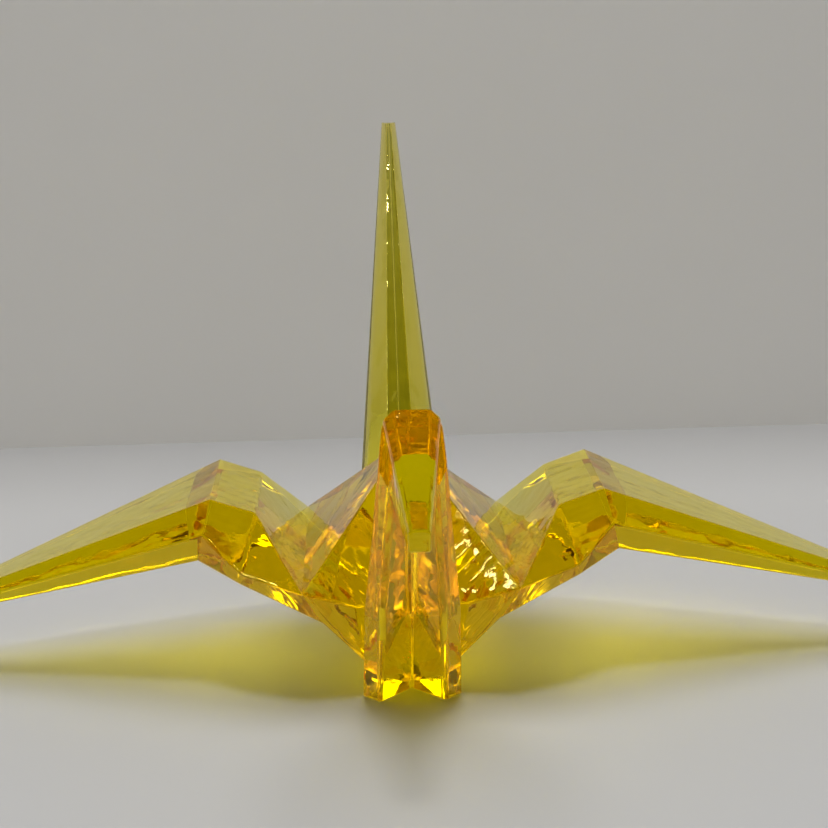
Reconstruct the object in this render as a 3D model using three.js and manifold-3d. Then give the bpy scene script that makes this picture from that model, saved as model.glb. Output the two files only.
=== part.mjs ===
// Origami crane ornament in clear amber acrylic, as eight mouldings that are
// solvent welded together: body, neck, head, tail and two wings of two pieces each.
// Millimetres, +Z up. The crane faces -Y and left is -X. The origin is on the
// surface it stands on, midway between the front and the rear foot.

import * as THREE from 'three';
import { ConvexGeometry } from 'three/addons/geometries/ConvexGeometry.js';
import { mergeVertices } from 'three/addons/utils/BufferGeometryUtils.js';
import Module from 'manifold-3d';

// ---- Driving dimensions ----

// Body: a four-sided hump over a keel. The wings leave it along two hinge lines.
const humpHeight = 35;
const hingeHeight = 18.4;
const hingeSpacing = 31.6;
const hingeLength = 50.4;
const flapHeight = 15.7;
const flapSpacing = 16.2;
const flapLength = 46.6;
const valleyHeight = 15;
const valleyLength = 39;
const rootHeight = 13.1;
const rootSpacing = 26;
const rootLength = 45.2;
const chineHeight = 5;
const chineSpacing = 12.4;
const chineLength = 38;
const keelHeight = 1.8;
const keelWidth = 6;
const keelLength = 28;
const keelGrooveWidth = 4.4;
const keelGrooveHeight = 3.7;

// Wings: a flat top strip with bevelled front and rear edges, bent at a
// shoulder crease and again at the elbow crease, then running to a blunt tip.
const wingspan = 160;
const shoulder = { x: 22.6, top: 27.4, topLength: 25.8, edgeX: 24.5, edge: 20.4, edgeLength: 43 };
const elbow = { x: 29.3, top: 29.7, topLength: 26.2, edgeX: 30.3, edge: 25.3, edgeLength: 34.4 };
const shoulderUnder = { x: 25.1, height: 18.6, length: 39.6 };
const elbowUnder = { x: 31.3, height: 20.9, length: 30.2 };
const tipTopHeight = 9.2;
const tipThickness = 1.2;
const tipLength = 2.4;

// Neck and tail: leaning eight-sided spikes. The narrow spine faces the hump and
// the far side has a folded V groove. Shares are of the width or the depth there.
const footReach = 20.3;
const footWidth = 14.8;
const footDepth = 12;
const collarHeight = 17;
const neckLean = 0.647;
const neckCollarWidth = 13.9;
const neckTopHeight = 49.6;
const neckTopWidth = 7.6;
const neckTopDepth = 5.9;
const tailLean = 0.619;
const tailCollarWidth = 14.4;
const tailHeight = 79;
const tailTipWidth = 2.5;
const tailTipDepth = 2.4;
const spineShare = 0.36;
const flankShare = 0.5;
const flankWidthShare = 0.86;
const neckTopSpineShare = 0.63;
const neckTopFlankShare = 0.22;
const rimShare = 0.7;
const cheekShare = 0.22;
const grooveWidth = 9.2;
const grooveDepth = 5.3;
const neckGrooveTop = { height: 36, width: 5.6, depth: 1.6 };
const tailGrooveTop = { height: 76, width: 1.6, depth: 0.6 };

// Head: folded forward and down from the top of the neck to a blunt beak.
const headDepth = 10.6;
const headSetback = 1;
const headShoulderDrop = 1.3;
const beakDrop = 10;
const beakReach = 22.4;
const beakWidth = 2.8;
const beakThickness = 2.9;

// Welded joints
const weldGap = 0.3;
const rootTenon = { length: 4, width: 24, thickness: 2.4 };
const elbowTenon = { length: 5, width: 14, thickness: 3.2 };
const headTenon = { length: 2.4, width: 3, thickness: 3 };
const headTenonDrop = 2.3;
const tenonSink = 1;

const material = {
  color: 0xd3b400,
  roughness: 0.08,
  metalness: 0,
  transparent: true,
  opacity: 0.6,
};

// ---- Solids ----

const wasm = await Module();
wasm.setup();

function point(x, y, z) {
  return new THREE.Vector3(x, y, z);
}

// The closed solid around a set of corner points.
function hull(points) {
  const geometry = new ConvexGeometry(points);
  geometry.deleteAttribute('normal');
  geometry.deleteAttribute('uv');
  const merged = mergeVertices(geometry);
  return new wasm.Manifold(new wasm.Mesh({
    numProp: 3,
    vertProperties: new Float32Array(merged.attributes.position.array),
    triVerts: new Uint32Array(merged.index.array),
  }));
}

function toMesh(name, solid) {
  const result = solid.getMesh();
  const geometry = new THREE.BufferGeometry();
  geometry.setAttribute('position', new THREE.BufferAttribute(result.vertProperties, 3));
  geometry.setIndex(new THREE.BufferAttribute(result.triVerts, 1));
  geometry.computeVertexNormals();
  const mesh = new THREE.Mesh(geometry, new THREE.MeshStandardMaterial(material));
  mesh.name = name;
  return mesh;
}

// Two corners that mirror each other front to rear.
function frontAndRear(x, length, z) {
  return [point(x, -length / 2, z), point(x, length / 2, z)];
}

function shifted(points, direction, distance) {
  return points.map((corner) => corner.clone().addScaledVector(direction, distance));
}

// A rectangular block that starts at a joint face and runs along a direction.
function block(start, along, up, size) {
  const across = along.clone().cross(up);
  const corners = [];
  for (const reach of [0, size.length]) {
    for (const sideways of [-size.width / 2, size.width / 2]) {
      for (const rise of [-size.thickness / 2, size.thickness / 2]) {
        corners.push(
          start.clone()
            .addScaledVector(along, reach)
            .addScaledVector(across, sideways)
            .addScaledVector(up, rise),
        );
      }
    }
  }
  return hull(corners);
}

// A tenon is rooted in one piece and crosses the weld gap. Its socket is larger
// by the gap on every side.
function tenon(start, along, up, size) {
  const root = start.clone().addScaledVector(along, -tenonSink);
  return block(root, along, up, { ...size, length: size.length + tenonSink });
}

function socket(start, along, up, size) {
  const mouth = start.clone().addScaledVector(along, -weldGap);
  return block(mouth, along, up, {
    length: size.length + 2 * weldGap,
    width: size.width + 2 * weldGap,
    thickness: size.thickness + 2 * weldGap,
  });
}

// ---- Joint faces between the body and the wings ----

function rootFace(side) {
  const top = frontAndRear(side * hingeSpacing / 2, hingeLength, hingeHeight);
  const under = frontAndRear(side * rootSpacing / 2, rootLength, rootHeight);
  return [...top, ...under];
}

function creaseFace(side, crease, under) {
  return [
    ...frontAndRear(side * crease.x, crease.topLength, crease.top),
    ...frontAndRear(side * crease.edgeX, crease.edgeLength, crease.edge),
    ...frontAndRear(side * under.x, under.length, under.height),
  ];
}

// The frame of a face that runs from a top line to an under line: its middle, the
// way up in it, and the way out of it, away from the body.
function faceFrame(side, topX, topZ, underX, underZ) {
  const up = point(side * (topX - underX), 0, topZ - underZ).normalize();
  return {
    middle: point(side * (topX + underX) / 2, 0, (topZ + underZ) / 2),
    up,
    out: point(side * up.z, 0, -side * up.x),
  };
}

function rootFrame(side) {
  return faceFrame(side, hingeSpacing / 2, hingeHeight, rootSpacing / 2, rootHeight);
}

function elbowFrame(side) {
  return faceFrame(side, elbow.x, elbow.top, elbowUnder.x, elbowUnder.height);
}

// ---- Neck and tail ----

const lowerShares = { spine: spineShare, flank: flankShare, flankWidth: flankWidthShare };

const neckShape = {
  direction: -1,
  lean: neckLean,
  levels: [
    { height: 0, width: footWidth, depth: footDepth, ...lowerShares },
    { height: collarHeight, width: neckCollarWidth, ...lowerShares },
    {
      height: neckTopHeight,
      width: neckTopWidth,
      depth: neckTopDepth,
      spine: neckTopSpineShare,
      flank: neckTopFlankShare,
      flankWidth: 1,
    },
  ],
};

const tailShape = {
  direction: 1,
  lean: tailLean,
  levels: [
    { height: 0, width: footWidth, depth: footDepth, ...lowerShares },
    { height: collarHeight, width: tailCollarWidth, ...lowerShares },
    { height: tailHeight, width: tailTipWidth, depth: tailTipDepth, ...lowerShares },
  ],
};

// How far the limb's outer face is from the middle of the crane, at a height.
function outerReach(limb, height) {
  return limb.direction * (footReach + limb.lean * height);
}

// The limb's depth from spine to outer face runs straight from foot to top.
function limbDepth(limb, height) {
  const foot = limb.levels[0];
  const top = limb.levels[2];
  return THREE.MathUtils.lerp(foot.depth, top.depth, height / top.height);
}

function limbSection(limb, level, grow) {
  const outer = outerReach(limb, level.height);
  const depth = limbDepth(limb, level.height);
  const half = level.width / 2;
  const corners = [];
  for (const side of [-1, 1]) {
    const spineX = side * (level.spine * half + grow);
    const flankX = side * (level.flankWidth * half + grow);
    const cheekX = side * (half + grow);
    const rimX = side * (rimShare * half + grow);
    const flankDepth = (1 - level.flank) * depth;
    corners.push(point(spineX, outer - limb.direction * (depth + grow), level.height));
    corners.push(point(flankX, outer - limb.direction * flankDepth, level.height));
    corners.push(point(cheekX, outer - limb.direction * cheekShare * depth, level.height));
    corners.push(point(rimX, outer + limb.direction * grow, level.height));
  }
  return corners;
}

function limbSolid(limb, grow = 0) {
  return hull(limb.levels.flatMap((level) => limbSection(limb, level, grow)));
}

// One end of the V groove in a limb's outer face. It starts a little outside the
// face, where it is wider in proportion.
function grooveSection(limb, height, width, depth) {
  const outside = 1;
  const outer = outerReach(limb, height);
  const mouth = width * (depth + outside) / depth;
  return [
    point(0, outer - limb.direction * depth, height),
    point(-mouth / 2, outer + limb.direction * outside, height),
    point(mouth / 2, outer + limb.direction * outside, height),
  ];
}

function limbGroove(limb, top) {
  const below = -1;
  return hull([
    ...grooveSection(limb, below, grooveWidth, grooveDepth),
    ...grooveSection(limb, top.height, top.width, top.depth),
  ]);
}

// ---- Head joint: an upright face at the top of the neck ----

const headTop = outerReach(neckShape, neckTopHeight) + neckTopDepth;
const headFace = {
  topY: headTop,
  topZ: neckTopHeight,
  underY: headTop + headSetback,
  underZ: neckTopHeight - headDepth,
};

function neckWidthAt(height) {
  const share = (height - collarHeight) / (neckTopHeight - collarHeight);
  return THREE.MathUtils.lerp(neckCollarWidth, neckTopWidth, share);
}

function headFrame() {
  const up = point(0, headFace.topY - headFace.underY, headFace.topZ - headFace.underZ).normalize();
  const middle = point(0, (headFace.topY + headFace.underY) / 2, (headFace.topZ + headFace.underZ) / 2);
  return {
    middle,
    tenonAt: middle.clone().addScaledVector(up, -headTenonDrop),
    up,
    out: point(0, -up.z, up.y),
  };
}

// ---- Pieces ----

function makeHalfHump(side) {
  return hull([
    point(0, 0, humpHeight),
    ...rootFace(side),
    ...frontAndRear(side * flapSpacing / 2, flapLength, flapHeight),
    ...frontAndRear(0, valleyLength, valleyHeight),
    ...frontAndRear(side * chineSpacing / 2, chineLength, chineHeight),
    ...frontAndRear(side * keelWidth / 2, keelLength, keelHeight),
    ...frontAndRear(0, keelLength, keelHeight),
  ]);
}

function makeBody() {
  const keelGroove = hull([
    ...frontAndRear(-keelGrooveWidth / 2, hingeLength, keelHeight),
    ...frontAndRear(keelGrooveWidth / 2, hingeLength, keelHeight),
    ...frontAndRear(-keelGrooveWidth / 2, hingeLength, 0),
    ...frontAndRear(keelGrooveWidth / 2, hingeLength, 0),
    ...frontAndRear(0, hingeLength, keelHeight + keelGrooveHeight),
  ]);
  let body = makeHalfHump(-1).add(makeHalfHump(1));
  body = body.subtract(keelGroove);
  body = body.subtract(limbSolid(neckShape, weldGap));
  body = body.subtract(limbSolid(tailShape, weldGap));
  for (const side of [-1, 1]) {
    const { middle, up, out } = rootFrame(side);
    body = body.subtract(socket(middle, out.clone().negate(), up, rootTenon));
  }
  return toMesh('body', body);
}

function makeInnerWing(name, side) {
  const root = rootFrame(side);
  const rootStart = root.middle.clone().addScaledVector(root.out, weldGap);
  const end = elbowFrame(side);
  const shoulderFace = creaseFace(side, shoulder, shoulderUnder);
  const near = hull([...shifted(rootFace(side), root.out, weldGap), ...shoulderFace]);
  const far = hull([...shoulderFace, ...creaseFace(side, elbow, elbowUnder)]);
  const tongue = tenon(rootStart, root.out.clone().negate(), root.up, rootTenon);
  const pocket = socket(end.middle, end.out.clone().negate(), end.up, elbowTenon);
  return toMesh(name, near.add(far).add(tongue).subtract(pocket));
}

function makeOuterWing(name, side) {
  const { middle, up, out } = elbowFrame(side);
  const start = middle.clone().addScaledVector(out, weldGap);
  const slab = hull([
    ...shifted(creaseFace(side, elbow, elbowUnder), out, weldGap),
    ...frontAndRear(side * wingspan / 2, tipLength, tipTopHeight),
    ...frontAndRear(side * wingspan / 2, tipLength, tipTopHeight - tipThickness),
  ]);
  return toMesh(name, slab.add(tenon(start, out.clone().negate(), up, elbowTenon)));
}

function makeNeck() {
  const { middle, tenonAt, up, out } = headFrame();
  const ahead = { length: beakReach, width: 2 * footWidth, thickness: 3 * headDepth };
  let neck = limbSolid(neckShape);
  neck = neck.subtract(limbGroove(neckShape, neckGrooveTop));
  neck = neck.subtract(block(middle.clone().addScaledVector(up, headDepth), out, up, ahead));
  neck = neck.subtract(socket(tenonAt, out.clone().negate(), up, headTenon));
  return toMesh('neck', neck);
}

function makeHead() {
  const { tenonAt, up, out } = headFrame();
  const tipY = headFace.topY - beakReach;
  const tipZ = headFace.topZ - beakDrop;
  const corners = [];
  for (const side of [-1, 1]) {
    const topX = side * neckTopSpineShare * neckTopWidth / 2;
    const underX = side * rimShare * neckWidthAt(headFace.underZ) / 2;
    corners.push(point(topX, headFace.topY, headFace.topZ));
    corners.push(point(side * neckTopWidth / 2, headFace.topY, headFace.topZ - headShoulderDrop));
    corners.push(point(underX, headFace.underY, headFace.underZ));
    corners.push(point(side * beakWidth / 2, tipY, tipZ));
    corners.push(point(side * beakWidth / 2, tipY, tipZ - beakThickness));
  }
  const wedge = hull(shifted(corners, out, weldGap));
  const start = tenonAt.clone().addScaledVector(out, weldGap);
  return toMesh('head', wedge.add(tenon(start, out.clone().negate(), up, headTenon)));
}

function makeTail() {
  return toMesh('tail', limbSolid(tailShape).subtract(limbGroove(tailShape, tailGrooveTop)));
}

// ---- Assembly ----

const crane = new THREE.Group();
crane.add(
  makeBody(),
  makeNeck(),
  makeHead(),
  makeTail(),
  makeInnerWing('left_inner_wing', -1),
  makeOuterWing('left_outer_wing', -1),
  makeInnerWing('right_inner_wing', 1),
  makeOuterWing('right_outer_wing', 1),
);

export default crane;
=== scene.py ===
"""Origami crane ornament in clear amber acrylic, standing on a white table.

The CAD frame gives each moulding's place and size. Each is rebuilt here with the
soft edges and the slightly wavy polish of a moulded surface. The eight mouldings
are solvent welded, so light crosses their welds as if the plastic were one piece.
"""

import math

import bmesh
import bpy
from mathutils import Matrix, Vector
from mathutils.bvhtree import BVHTree


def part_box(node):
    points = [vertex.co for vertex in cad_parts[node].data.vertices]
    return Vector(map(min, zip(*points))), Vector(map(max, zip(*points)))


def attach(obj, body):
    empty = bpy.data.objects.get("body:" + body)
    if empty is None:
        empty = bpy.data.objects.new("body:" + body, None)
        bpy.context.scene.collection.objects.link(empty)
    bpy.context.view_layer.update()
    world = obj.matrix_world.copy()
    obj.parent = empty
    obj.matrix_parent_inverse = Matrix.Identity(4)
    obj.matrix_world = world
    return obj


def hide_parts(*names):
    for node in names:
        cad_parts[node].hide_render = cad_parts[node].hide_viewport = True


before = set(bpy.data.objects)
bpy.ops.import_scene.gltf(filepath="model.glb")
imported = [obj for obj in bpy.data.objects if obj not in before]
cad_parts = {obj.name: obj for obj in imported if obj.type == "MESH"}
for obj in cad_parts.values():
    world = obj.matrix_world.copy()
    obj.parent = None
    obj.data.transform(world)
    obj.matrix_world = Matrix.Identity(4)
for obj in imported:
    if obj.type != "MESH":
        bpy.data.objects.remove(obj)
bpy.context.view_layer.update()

MM = 0.001

# ---- Table, wall, camera and light ----
# A matt white table with a pale grey wall behind it, under ceiling light panels.
# The wall is see-through from behind, so that it hides the crane from no side.

TABLE_SIZE = 3.0
TABLE_Z = -0.00004
WALL_BEHIND = 0.157
WALL_SIZE = (0.6, 0.15)
WALL_TURN = math.radians(0.6)


class Value:
    """A shader socket that Python arithmetic turns into Math nodes."""

    def __init__(self, nodes, socket):
        self.nodes = nodes
        self.socket = socket

    def math(self, operation, other=None, swap=False):
        values = [self, other] if other is not None else [self]
        if swap:
            values.reverse()
        inputs = dict(enumerate(values))
        return self.nodes.add("ShaderNodeMath", {"operation": operation}, inputs)

    def __add__(self, other):
        return self.math("ADD", other)

    def __sub__(self, other):
        return self.math("SUBTRACT", other)

    def __rsub__(self, other):
        return self.math("SUBTRACT", other, swap=True)

    def __mul__(self, other):
        return self.math("MULTIPLY", other)

    def __pow__(self, other):
        return self.math("POWER", other)

    __radd__ = __add__
    __rmul__ = __mul__


class Nodes:
    """One material's node tree."""

    def __init__(self, name):
        self.material = bpy.data.materials.new(name)
        self.material.use_nodes = True
        self.tree = self.material.node_tree
        self.tree.nodes.clear()
        self.out = self.tree.nodes.new("ShaderNodeOutputMaterial")

    def add(self, kind, settings=None, inputs=None, output=0):
        node = self.tree.nodes.new(kind)
        for name, value in (settings or {}).items():
            setattr(node, name, value)
        for key, value in (inputs or {}).items():
            self.feed(node.inputs[key], value)
        return Value(self, node.outputs[output])

    def feed(self, socket, value):
        if isinstance(value, Value):
            self.tree.links.new(value.socket, socket)
        else:
            socket.default_value = value

    def finish(self, surface, volume=None):
        self.feed(self.out.inputs["Surface"], surface)
        if volume is not None:
            self.feed(self.out.inputs["Volume"], volume)
        return self.material


def table_material():
    n = Nodes("white_table")
    place = n.add("ShaderNodeTexCoord", output="Object")
    cloud = n.add("ShaderNodeTexNoise", inputs={"Vector": place, "Scale": 9.0, "Detail": 3.0})
    grain = n.add("ShaderNodeTexNoise", inputs={"Vector": place, "Scale": 900.0, "Detail": 2.0})
    tone = n.add("ShaderNodeMix", {"data_type": "RGBA"}, {
        "Factor": cloud, "A": (0.44, 0.44, 0.445, 1.0), "B": (0.48, 0.48, 0.48, 1.0),
    }, output="Result")
    bump = n.add("ShaderNodeBump", inputs={"Strength": 0.05, "Distance": 0.0002, "Height": grain})
    return n.finish(n.add("ShaderNodeBsdfPrincipled", inputs={
        "Base Color": tone, "Roughness": 0.42 + cloud * 0.1, "Normal": bump,
    }))


def wall_material():
    n = Nodes("grey_wall")
    place = n.add("ShaderNodeTexCoord", output="Object")
    cloud = n.add("ShaderNodeTexNoise", inputs={"Vector": place, "Scale": 14.0, "Detail": 4.0})
    tone = n.add("ShaderNodeMix", {"data_type": "RGBA"}, {
        "Factor": cloud, "A": (0.84, 0.825, 0.79, 1.0), "B": (0.89, 0.875, 0.84, 1.0),
    }, output="Result")
    paint = n.add("ShaderNodeBsdfPrincipled", inputs={"Base Color": tone, "Roughness": 0.8})
    clear = n.add("ShaderNodeBsdfTransparent")
    back = n.add("ShaderNodeNewGeometry", output="Backfacing")
    return n.finish(n.add("ShaderNodeMixShader", inputs={"Fac": back, 1: paint, 2: clear}))


def stage_sheet(name, corners, material):
    mesh = bpy.data.meshes.new(name)
    mesh.from_pydata(corners, [], [(0, 1, 2, 3)])
    mesh.materials.append(material)
    sheet = bpy.data.objects.new(name, mesh)
    bpy.context.scene.collection.objects.link(sheet)
    return sheet


reach = TABLE_SIZE / 2
stage_sheet("table_top", [
    (-reach, -reach, TABLE_Z), (reach, -reach, TABLE_Z),
    (reach, reach, TABLE_Z), (-reach, reach, TABLE_Z),
], table_material())
half_wall = WALL_SIZE[0] / 2
wall_skew = half_wall * math.tan(WALL_TURN)
stage_sheet("back_wall", [
    (-half_wall, WALL_BEHIND - wall_skew, 0),
    (half_wall, WALL_BEHIND + wall_skew, 0),
    (half_wall, WALL_BEHIND + wall_skew, WALL_SIZE[1]),
    (-half_wall, WALL_BEHIND - wall_skew, WALL_SIZE[1]),
], wall_material())

CAMERA_PLACE = (-0.0069, -0.3009, 0.1036)
CAMERA_PITCH = math.radians(12.11)
CAMERA_TURN = math.radians(1.62)
CAMERA_ROLL = math.radians(-1.23)
CAMERA_LENS = 87.0

camera_data = bpy.data.cameras.new("camera")
camera_data.lens = CAMERA_LENS
camera_data.sensor_width = 36.0
camera_data.clip_start = 0.01
camera = bpy.data.objects.new("camera", camera_data)
bpy.context.scene.collection.objects.link(camera)
level = Matrix.Rotation(-CAMERA_TURN, 4, "Z") @ Matrix.Rotation(math.pi / 2 - CAMERA_PITCH, 4, "X")
camera.matrix_world = Matrix.Translation(CAMERA_PLACE) @ level @ Matrix.Rotation(CAMERA_ROLL, 4, "Z")
bpy.context.scene.camera = camera


CEILING_LIGHT = (1.0, 0.985, 0.96)
KEY_LIGHT = (1.0, 0.99, 0.97)
GLINT_LIGHT = (1.0, 0.98, 0.95)
CEILING_DISTANCE = 1.2
LAMP_DISTANCE = 1.1
GLINTS = {
    "glint_left_elbow": ((-0.035, -0.335, 0.936), (0.04, 0.04), 0.5),
    "glint_right_elbow": ((0.078, -0.35, 0.932), (0.04, 0.04), 0.5),
    "glint_hump": ((-0.44, -0.15, 0.88), (0.014, 0.34), 0.7),
    "glint_tail": ((-0.34, -0.42, 0.84), (0.28, 0.2), 10.0),
    "glint_head": ((-0.01, 0.46, 0.89), (0.02, 0.012), 0.06),
}


def light_panel(name, aim, distance, size, power, colour):
    """A lamp panel that hangs in a direction from the crane and faces it."""
    data = bpy.data.lights.new(name, "AREA")
    data.shape = "RECTANGLE"
    data.size, data.size_y = size
    data.energy = power
    data.color = colour
    panel = bpy.data.objects.new(name, data)
    panel.location = Vector(aim).normalized() * distance
    panel.rotation_euler = (-panel.location).to_track_quat("-Z", "Y").to_euler()
    bpy.context.scene.collection.objects.link(panel)
    return panel


# The two soft lamps light the scene without showing in the polish, and the key lamp
# doesn't show through the plastic either. The small lamps only add the glints.
ceiling = light_panel("ceiling", (0.0, 0.1, 1.0), CEILING_DISTANCE, (1.2, 0.9), 11.2, CEILING_LIGHT)
key = light_panel("key", (0.02, -0.33, 0.94), LAMP_DISTANCE, (0.16, 0.16), 3.2, KEY_LIGHT)
for soft_lamp in (ceiling, key):
    soft_lamp.visible_glossy = False
key.visible_transmission = False
for name, (aim, size, power) in GLINTS.items():
    glint = light_panel(name, aim, LAMP_DISTANCE, size, power, GLINT_LIGHT)
    glint.visible_diffuse = False
    glint.visible_transmission = False


ROOM_TONE = (0.93, 0.94, 0.96, 1.0)
ROOM_BY_HEIGHT = {"From Min": 0.0, "From Max": 0.55, "To Min": 0.12, "To Max": 0.45}
ROOM_FRONT_TO_BACK = {"From Min": -0.6, "From Max": 0.5, "To Min": 0.12, "To Max": 1.0}


def room_world():
    """A pale room, dimmer low down and on the side that the crane faces."""
    world = bpy.data.worlds.new("room")
    world.use_nodes = True
    nodes, links = world.node_tree.nodes, world.node_tree.links
    place = nodes.new("ShaderNodeTexCoord")
    axes = nodes.new("ShaderNodeSeparateXYZ")
    strength = nodes.new("ShaderNodeMath")
    strength.operation = "MULTIPLY"
    links.new(place.outputs["Generated"], axes.inputs[0])
    for slot, (axis, stretch) in enumerate((("Z", ROOM_BY_HEIGHT), ("Y", ROOM_FRONT_TO_BACK))):
        ramp = nodes.new("ShaderNodeMapRange")
        for name, value in stretch.items():
            ramp.inputs[name].default_value = value
        links.new(axes.outputs[axis], ramp.inputs["Value"])
        links.new(ramp.outputs[0], strength.inputs[slot])
    shade = nodes["Background"]
    shade.inputs["Color"].default_value = ROOM_TONE
    links.new(strength.outputs[0], shade.inputs["Strength"])
    world.cycles_visibility.glossy = False
    bpy.context.scene.world = world


room_world()
bpy.context.scene.view_settings.view_transform = "Standard"
bounces = bpy.context.scene.cycles
bounces.max_bounces = 32
bounces.transmission_bounces = 32
bounces.transparent_max_bounces = 32
bounces.glossy_bounces = 24

# ---- Clear amber acrylic ----
# Cast acrylic dyed yellow through its whole depth: pale where it is thin and amber
# where light travels far inside it. The polish keeps faint ripples from the mould,
# deeper round the thick middle, where the plastic shrank most as it cooled.

ACRYLIC_IOR = 1.49
RIPPLE_DEPTH = 0.00013
THICK_MIDDLE = {"From Min": 0.028, "From Max": 0.045, "To Min": 1.6, "To Max": 1.0}
DYE_PER_METRE = 360.0
DYE_LEFT = (0.999, 0.979, 0.0)


def acrylic_material():
    n = Nodes("amber_acrylic")
    place = n.add("ShaderNodeTexCoord", output="Object")
    ripple = n.add("ShaderNodeTexNoise", inputs={"Vector": place, "Scale": 210.0, "Detail": 1.0})
    orange_peel = n.add("ShaderNodeTexNoise", inputs={"Vector": place, "Scale": 1300.0, "Detail": 2.0})
    haze = n.add("ShaderNodeTexNoise", inputs={"Vector": place, "Scale": 420.0, "Detail": 3.0})
    from_middle = n.add("ShaderNodeVectorMath", {"operation": "LENGTH"}, {0: place}, output="Value")
    thick = n.add("ShaderNodeMapRange", inputs={"Value": from_middle, **THICK_MIDDLE})
    bump = n.add("ShaderNodeBump", inputs={
        "Strength": 1.0, "Distance": RIPPLE_DEPTH, "Height": ripple * thick + orange_peel * 0.05,
    })
    tint = n.add("ShaderNodeMix", {"data_type": "RGBA"}, {
        "Factor": haze, "A": (1.0, 0.90, 0.42, 1.0), "B": (0.985, 0.87, 0.38, 1.0),
    }, output="Result")
    weld = n.add("ShaderNodeAttribute", {"attribute_name": "weld"}, output="Fac")
    plastic = n.add("ShaderNodeBsdfPrincipled", inputs={
        "Base Color": tint,
        "Roughness": 0.015 + (haze ** 3.0) * 0.06,
        "IOR": ACRYLIC_IOR,
        "Specular Tint": (1.0, 0.86, 0.3, 1.0),
        "Transmission Weight": 1.0,
        "Alpha": 1.0 - weld,
        "Normal": bump,
    })
    dye = n.add("ShaderNodeVolumeAbsorption", inputs={
        "Color": (*DYE_LEFT, 1.0), "Density": DYE_PER_METRE,
    })
    return n.finish(plastic, dye)


acrylic = acrylic_material()

# ---- Body ----
# The folded hump over its keel, one solid moulding. The wings leave it along the
# two hinge lines, and the neck and the tail are set into its front and rear.
# Sizes from here on are in millimetres.

SEAM = 0.02
EDGE_ROUND = 0.4
BLUNT_ROUND = 0.5
EDGE_STEPS = 3
FLAT = 1e-3
SAME_CORNER = 1e-3
SAME_CUT_POINT = 2e-3
NO_LENGTH = 1e-4
SAME_FACE_ANGLE = math.radians(0.4)
LEAST_EDGE_ANGLE = math.radians(4)
SMOOTH_ANGLE = math.radians(40)

body_low, body_high = (Vector(corner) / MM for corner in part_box("body"))
HINGE_X, HINGE_Y, HUMP_Z = body_high
HINGE_Z = 18.4
FLAP = (8.1, 23.3, 15.7)
VALLEY = (0, 19.5, 15)
ROOT = (13, 22.6, 13.1)
CHINE = (6.2, 19, 5)
KEEL_X, KEEL_Y, KEEL_Z = 3, 14, body_low.z
KEEL_GROOVE = (2.2, 3.7)


def both_ways(x, y, z):
    return [Vector((x, -y, z)), Vector((x, y, z))]


def ring_solid(rings):
    """A closed solid through rings of matching points, its ends closed by flat faces."""
    bm = bmesh.new()
    rows = [[bm.verts.new(place) for place in ring] for ring in rings]
    for near, far in zip(rows, rows[1:]):
        for i in range(len(near)):
            j = (i + 1) % len(near)
            bm.faces.new((near[i], near[j], far[j], far[i]))
    bm.faces.new(rows[0])
    bm.faces.new(rows[-1])
    return tidied(bm)


def tidied(bm):
    """Joins equal points, flattens needless edges and turns every face outwards."""
    bmesh.ops.remove_doubles(bm, verts=bm.verts, dist=SAME_CORNER)
    bmesh.ops.dissolve_degenerate(bm, dist=NO_LENGTH, edges=bm.edges)
    bmesh.ops.dissolve_limit(bm, angle_limit=SAME_FACE_ANGLE, verts=bm.verts, edges=bm.edges)
    bmesh.ops.recalc_face_normals(bm, faces=bm.faces)
    return bm


def on_plane(element, plane):
    point, normal = plane
    return all(abs((v.co - point).dot(normal)) < FLAT for v in element.verts)


def rounded(bm, weld_planes, radius=EDGE_ROUND):
    """Rounds every edge but those round a weld."""
    edges = [
        e for e in bm.edges
        if e.calc_face_angle(0) > LEAST_EDGE_ANGLE and not any(on_plane(e, p) for p in weld_planes)
    ]
    bmesh.ops.bevel(bm, geom=edges, offset=radius, offset_type="OFFSET", segments=EDGE_STEPS,
                    profile=0.5, affect="EDGES", clamp_overlap=True)
    bmesh.ops.recalc_face_normals(bm, faces=bm.faces)
    return bm


def make_piece(name, bm, is_weld):
    """Turns a solid in millimetres into a piece that stands for its CAD node."""
    marks = [is_weld(face) for face in bm.faces]
    layer = bm.faces.layers.float.new("weld")
    for face, mark in zip(bm.faces, marks):
        face[layer] = 1.0 if mark else 0.0
        face.smooth = True
    for edge in bm.edges:
        faces = edge.link_faces
        edge.smooth = len({f[layer] for f in faces}) == 1 and edge.calc_face_angle(0) < SMOOTH_ANGLE
    bmesh.ops.transform(bm, matrix=Matrix.Scale(MM, 4), verts=bm.verts)
    mesh = bpy.data.meshes.new(name)
    bm.to_mesh(mesh)
    bm.free()
    mesh.materials.append(acrylic)
    piece = bpy.data.objects.new(name, mesh)
    bpy.context.scene.collection.objects.link(piece)
    weighted = piece.modifiers.new("flat_faces", "WEIGHTED_NORMAL")
    weighted.keep_sharp = True
    weighted.weight = 100
    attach(piece, "root")
    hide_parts(name)
    return piece


def root_plane(side):
    top = Vector((side * HINGE_X, 0, HINGE_Z))
    drop = Vector((side * ROOT[0], 0, ROOT[2])) - top
    return top, Vector((-side * drop.z, 0, side * drop.x)).normalized()


def hull(corners):
    bm = bmesh.new()
    for corner in corners:
        bm.verts.new(corner)
    spare = bmesh.ops.convex_hull(bm, input=bm.verts)
    unused = {e for key in ("geom_interior", "geom_unused") for e in spare[key]}
    bmesh.ops.delete(bm, geom=[v for v in unused if isinstance(v, bmesh.types.BMVert)], context="VERTS")
    return tidied(bm)


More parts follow.
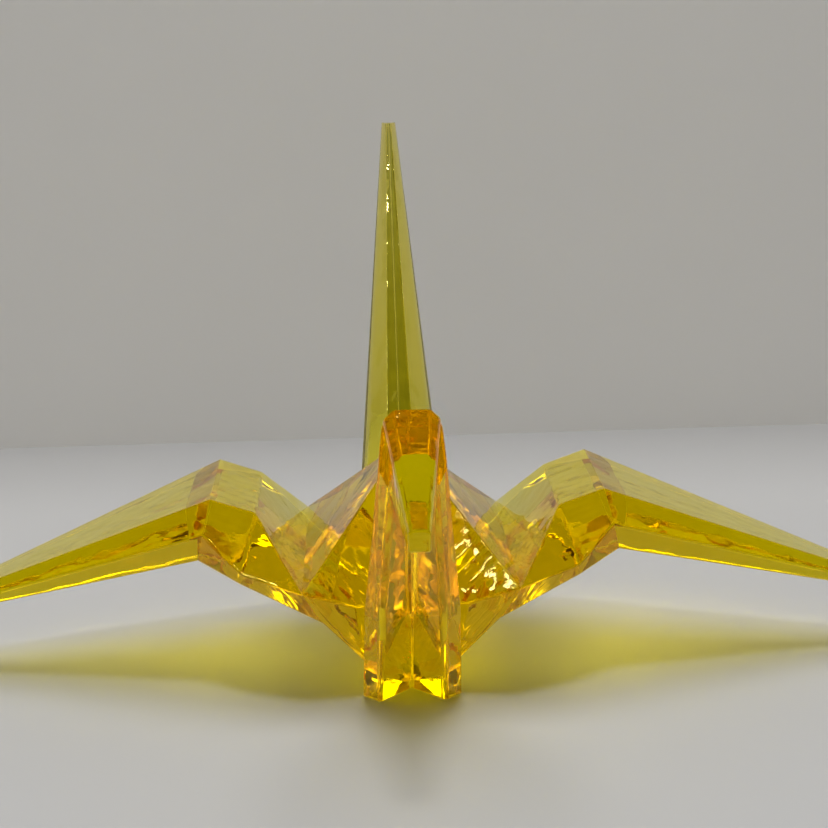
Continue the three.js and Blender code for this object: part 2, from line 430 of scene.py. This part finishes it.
def as_object(bm):
    """An object for a Boolean, in triangles so that every cut falls on the same lines."""
    bmesh.ops.triangulate(bm, faces=bm.faces)
    mesh = bpy.data.meshes.new("tool")
    bm.to_mesh(mesh)
    tool = bpy.data.objects.new("tool", mesh)
    bpy.context.scene.collection.objects.link(tool)
    return tool


def combined(first, second, operation):
    """A new solid from two: their DIFFERENCE, INTERSECT or UNION."""
    keep, tool = as_object(first), as_object(second)
    cut = keep.modifiers.new("cut", "BOOLEAN")
    cut.operation = operation
    cut.solver = "EXACT"
    cut.object = tool
    bpy.context.view_layer.update()
    result = bmesh.new()
    result.from_mesh(keep.evaluated_get(bpy.context.evaluated_depsgraph_get()).to_mesh())
    for spare in (keep, tool):
        bpy.data.meshes.remove(spare.data)
    return result


def body_solid():
    half_corners = [
        Vector((0, 0, HUMP_Z)),
        *both_ways(HINGE_X, HINGE_Y, HINGE_Z),
        *both_ways(*FLAP),
        *both_ways(*VALLEY),
        *both_ways(*ROOT),
        *both_ways(*CHINE),
        *both_ways(KEEL_X, KEEL_Y, KEEL_Z),
        *both_ways(0, KEEL_Y, KEEL_Z),
    ]
    left, right = (
        hull([Vector((side * v.x, v.y, v.z)) for v in half_corners])
        for side in (-1, 1)
    )
    half_groove, groove_height = KEEL_GROOVE
    groove_corners = both_ways(0, HINGE_Y, KEEL_Z + groove_height)
    for z in (KEEL_Z, 0):
        for x in (-half_groove, half_groove):
            groove_corners += both_ways(x, HINGE_Y, z)
    solid = combined(left, right, "UNION")
    return tidied(combined(solid, hull(groove_corners), "DIFFERENCE"))


root_planes = [root_plane(side) for side in (-1, 1)]
body = rounded(body_solid(), root_planes, BLUNT_ROUND)

# ---- Neck and tail ----
# Two leaning spikes with a narrow spine towards the hump and a folded V groove on
# the far side. Each stands on its own flat foot, and the neck is mitred for the head.

neck_high = Vector(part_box("neck")[1]) / MM
tail_high = Vector(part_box("tail")[1]) / MM
FOOT_REACH = 20.3
FOOT_WIDTH = 14.8
FOOT_DEPTH = 12
FOOT_GROOVE = (9.2, 5.3)
COLLAR_Z = 17
LOWER_SHARES = {"spine": 0.36, "flank": 0.5, "flank_width": 0.86}
RIM_SHARE = 0.7
CHEEK_SHARE = 0.22
NECK_LEAN = 0.647
NECK_COLLAR_WIDTH = 13.9
NECK_COLLAR_GROOVE = (7.6, 3.6)
NECK_GROOVE_END = (36, 5.6, 1.6)
NECK_FLAT_FROM = (39, 5.0)
NECK_TOP_Z = neck_high.z
NECK_TOP_WIDTH = 7.6
NECK_TOP_DEPTH = 5.9
NECK_TOP_FLAT = 3.0
NECK_TOP_SHARES = {"spine": 0.63, "flank": 0.22, "flank_width": 1.0}
TAIL_COLLAR_WIDTH = 14.4
TAIL_COLLAR_GROOVE = (7.9, 4.4)
TAIL_TOP_Z = tail_high.z
TAIL_TIP_WIDTH = 2.5
TAIL_TIP_DEPTH = 2.4
TAIL_TIP_GROOVE = (1.4, 0.5)
TAIL_LEAN = (tail_high.y - FOOT_REACH) / TAIL_TOP_Z


def limb_ring(direction, lean, z, width, depth, groove, spine, flank, flank_width):
    """One level of a limb: spine, flanks, cheeks, rims and the groove between them."""
    outer = FOOT_REACH + lean * z
    half = width / 2
    groove_width, groove_depth = groove
    right = [
        (spine * half, outer - depth),
        (flank_width * half, outer - (1 - flank) * depth),
        (half, outer - CHEEK_SHARE * depth),
        (RIM_SHARE * half, outer),
        (groove_width / 2, outer),
    ]
    left = [(-x, y) for x, y in reversed(right)]
    outline = [*right, (0, outer - groove_depth), *left]
    return [Vector((x, direction * y, z)) for x, y in outline]


def neck_solid():
    def up(z):
        return (z - COLLAR_Z) / (NECK_TOP_Z - COLLAR_Z)

    def depth(z):
        return FOOT_DEPTH + (NECK_TOP_DEPTH - FOOT_DEPTH) * z / NECK_TOP_Z

    def ring_above_collar(z, groove):
        width = NECK_COLLAR_WIDTH + (NECK_TOP_WIDTH - NECK_COLLAR_WIDTH) * up(z)
        shares = {
            name: low + (NECK_TOP_SHARES[name] - low) * up(z)
            for name, low in LOWER_SHARES.items()
        }
        return limb_ring(-1, NECK_LEAN, z, width, depth(z), groove, **shares)

    groove_z, *groove_end = NECK_GROOVE_END
    flat_z, flat_width = NECK_FLAT_FROM
    return ring_solid([
        limb_ring(-1, NECK_LEAN, 0, FOOT_WIDTH, depth(0), FOOT_GROOVE, **LOWER_SHARES),
        ring_above_collar(COLLAR_Z, NECK_COLLAR_GROOVE),
        ring_above_collar(groove_z, groove_end),
        ring_above_collar(flat_z, (flat_width, 0)),
        ring_above_collar(NECK_TOP_Z, (NECK_TOP_FLAT, 0)),
    ])


def tail_solid():
    def ring(z, width, groove):
        depth = FOOT_DEPTH + (TAIL_TIP_DEPTH - FOOT_DEPTH) * z / TAIL_TOP_Z
        return limb_ring(1, TAIL_LEAN, z, width, depth, groove, **LOWER_SHARES)

    return ring_solid([
        ring(0, FOOT_WIDTH, FOOT_GROOVE),
        ring(COLLAR_Z, TAIL_COLLAR_WIDTH, TAIL_COLLAR_GROOVE),
        ring(TAIL_TOP_Z, TAIL_TIP_WIDTH, TAIL_TIP_GROOVE),
    ])


ON_SURFACE = 0.02
SAME_FACING = 0.99
HEAD_TOP_Y = -(FOOT_REACH + NECK_LEAN * NECK_TOP_Z) + NECK_TOP_DEPTH
HEAD_DEPTH = 10.6
HEAD_SETBACK = 1
head_top = Vector((0, HEAD_TOP_Y, NECK_TOP_Z))
head_rise = Vector((0, -HEAD_SETBACK, HEAD_DEPTH)).normalized()
head_plane = (head_top, Vector((0, -head_rise.z, head_rise.y)))


def cut_off(bm, plane):
    """Takes off what lies beyond a plane, and closes the cut."""
    everything = bm.verts[:] + bm.edges[:] + bm.faces[:]
    cut = bmesh.ops.bisect_plane(bm, geom=everything, dist=1e-5, plane_co=plane[0],
                                 plane_no=plane[1], clear_outer=True)
    edges = [e for e in cut["geom_cut"] if isinstance(e, bmesh.types.BMEdge)]
    bmesh.ops.contextual_create(bm, geom=edges)
    bmesh.ops.recalc_face_normals(bm, faces=bm.faces)
    return bm


def grown(bm, by):
    """A copy whose faces stand a little further out."""
    bigger = bm.copy()
    bigger.normal_update()
    moves = [(v, v.normal * (by * v.calc_shell_factor())) for v in bigger.verts]
    for v, move in moves:
        v.co += move
    return bigger


def lies_on(bm):
    """A test for faces that lie on another solid's surface."""
    bmesh.ops.triangulate(bm, faces=bm.faces)
    tree = BVHTree.FromBMesh(bm)

    def test(face):
        _, normal, _, distance = tree.find_nearest(face.calc_center_median())
        near = distance is not None and distance < ON_SURFACE
        return near and abs(normal.dot(face.normal)) > SAME_FACING

    return test


def imprinted(solid, limbs):
    """The solid with each limb's outline cut into its surface, and what lies inside it."""
    on_solid = lies_on(solid)
    both = bmesh.new()
    for limb in limbs:
        mesh = bpy.data.meshes.new("limb")
        limb.to_mesh(mesh)
        both.from_mesh(mesh)
        bpy.data.meshes.remove(mesh)
    parts = [(combined(solid, both, "DIFFERENCE"), 0.0), (combined(solid, both, "INTERSECT"), 1.0)]
    whole = bmesh.new()
    covered = whole.faces.layers.float.new("covered")
    for part, value in parts:
        part.normal_update()
        for face in part.faces:
            if on_solid(face):
                copy = whole.faces.new([whole.verts.new(v.co) for v in face.verts])
                copy[covered] = value
    bmesh.ops.remove_doubles(whole, verts=whole.verts, dist=SAME_CUT_POINT)
    bmesh.ops.recalc_face_normals(whole, faces=whole.faces)
    return whole


neck_full = rounded(neck_solid(), [])
tail_full = rounded(tail_solid(), [])
body_outside = grown(body, SEAM)
on_body = lies_on(body_outside)
neck = cut_off(combined(neck_full, body_outside, "DIFFERENCE"), head_plane)
tail = combined(tail_full, body_outside, "DIFFERENCE")
body = imprinted(body, [neck_full, tail_full])
covered = body.faces.layers.float["covered"]
make_piece("body", body, lambda f: f[covered] > 0.5 or any(on_plane(f, p) for p in root_planes))
make_piece("neck", neck, lambda f: on_plane(f, head_plane) or on_body(f))
make_piece("tail", tail, on_body)

# ---- Head ----
# The last fold of the neck, turned forward and down to a blunt beak. It is welded
# to the mitred end of the neck.

BEAK_DROP = 10
BEAK_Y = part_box("head")[0][1] / MM
BEAK_TOP_Z = NECK_TOP_Z - BEAK_DROP
BEAK_THICKNESS = 2.9
BEAK_HALF_WIDTHS = (0.9, 1.4)
BEAK_SHOULDER_DROP = 0.5
HEAD_HALF_WIDTHS = (2.4, 3.8, 3.35)
HEAD_SHOULDER_DROP = 1.3


def mirrored(half_ring):
    """A ring from its right half, from the top round to the underside."""
    return [*half_ring, *(Vector((-v.x, v.y, v.z)) for v in reversed(half_ring))]


def head_solid():
    off_weld = head_plane[1] * 2 * SEAM
    top_half, shoulder_half, under_half = HEAD_HALF_WIDTHS
    rear = mirrored([Vector((x, p.y, p.z)) + off_weld for x, p in [
        (top_half, head_top),
        (shoulder_half, head_top - head_rise * HEAD_SHOULDER_DROP),
        (under_half, head_top - head_rise * HEAD_DEPTH),
    ]])
    ridge_half, beak_half = BEAK_HALF_WIDTHS
    beak = mirrored([Vector((x, BEAK_Y, z)) for x, z in [
        (ridge_half, BEAK_TOP_Z),
        (beak_half, BEAK_TOP_Z - BEAK_SHOULDER_DROP),
        (beak_half, BEAK_TOP_Z - BEAK_THICKNESS),
    ]])
    return ring_solid([rear, beak])


head_weld = (head_top + head_plane[1] * 2 * SEAM, head_plane[1])
head = rounded(head_solid(), [head_weld], BLUNT_ROUND)
make_piece("head", head, lambda f: on_plane(f, head_weld))

# ---- Wings ----
# Each wing is two solid mouldings: the inner one rises from the hinge to the elbow
# crease and the outer one droops from there to a blunt tip.

SHOULDER = [(22.6, 12.9, 27.4), (24.5, 21.5, 20.4), (25.1, 19.8, 18.6)]
ELBOW = [(29.3, 13.1, 29.7), (30.3, 17.2, 25.3), (31.3, 15.1, 20.9)]
TIP_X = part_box("right_outer_wing")[1][0] / MM
TIP = [(TIP_X, 1.2, 9.2), (TIP_X, 1.2, 8.6), (TIP_X, 1.2, 8.0)]


def wing_ring(side, corners, shift=Vector()):
    """A wing section, from the top round the rear edge and the underside."""
    rear = [Vector((side * x, y, z)) + shift for x, y, z in corners]
    front = [Vector((v.x, -v.y, v.z)) for v in reversed(rear)]
    return [*rear, *front]


def elbow_plane(side):
    top = Vector((side * ELBOW[0][0], 0, ELBOW[0][2]))
    drop = Vector((side * ELBOW[2][0], 0, ELBOW[2][2])) - top
    return top, Vector((-side * drop.z, 0, side * drop.x)).normalized()


def moved(plane, distance):
    return plane[0] + plane[1] * distance, plane[1]


for word, side in (("left", -1), ("right", 1)):
    root = moved(root_plane(side), SEAM)
    elbow = elbow_plane(side)
    hinge = (HINGE_X, HINGE_Y, HINGE_Z)
    root_ring = wing_ring(side, [hinge, hinge, ROOT], root[1] * SEAM)
    inner = ring_solid([root_ring, wing_ring(side, SHOULDER), wing_ring(side, ELBOW)])
    inner = rounded(inner, [root, elbow])
    make_piece(f"{word}_inner_wing", inner, lambda f, a=root, b=elbow: on_plane(f, a) or on_plane(f, b))
    seam = moved(elbow, SEAM)
    outer = ring_solid([wing_ring(side, ELBOW, elbow[1] * SEAM), wing_ring(side, TIP)])
    outer = rounded(outer, [seam])
    make_piece(f"{word}_outer_wing", outer, lambda f, a=seam: on_plane(f, a))
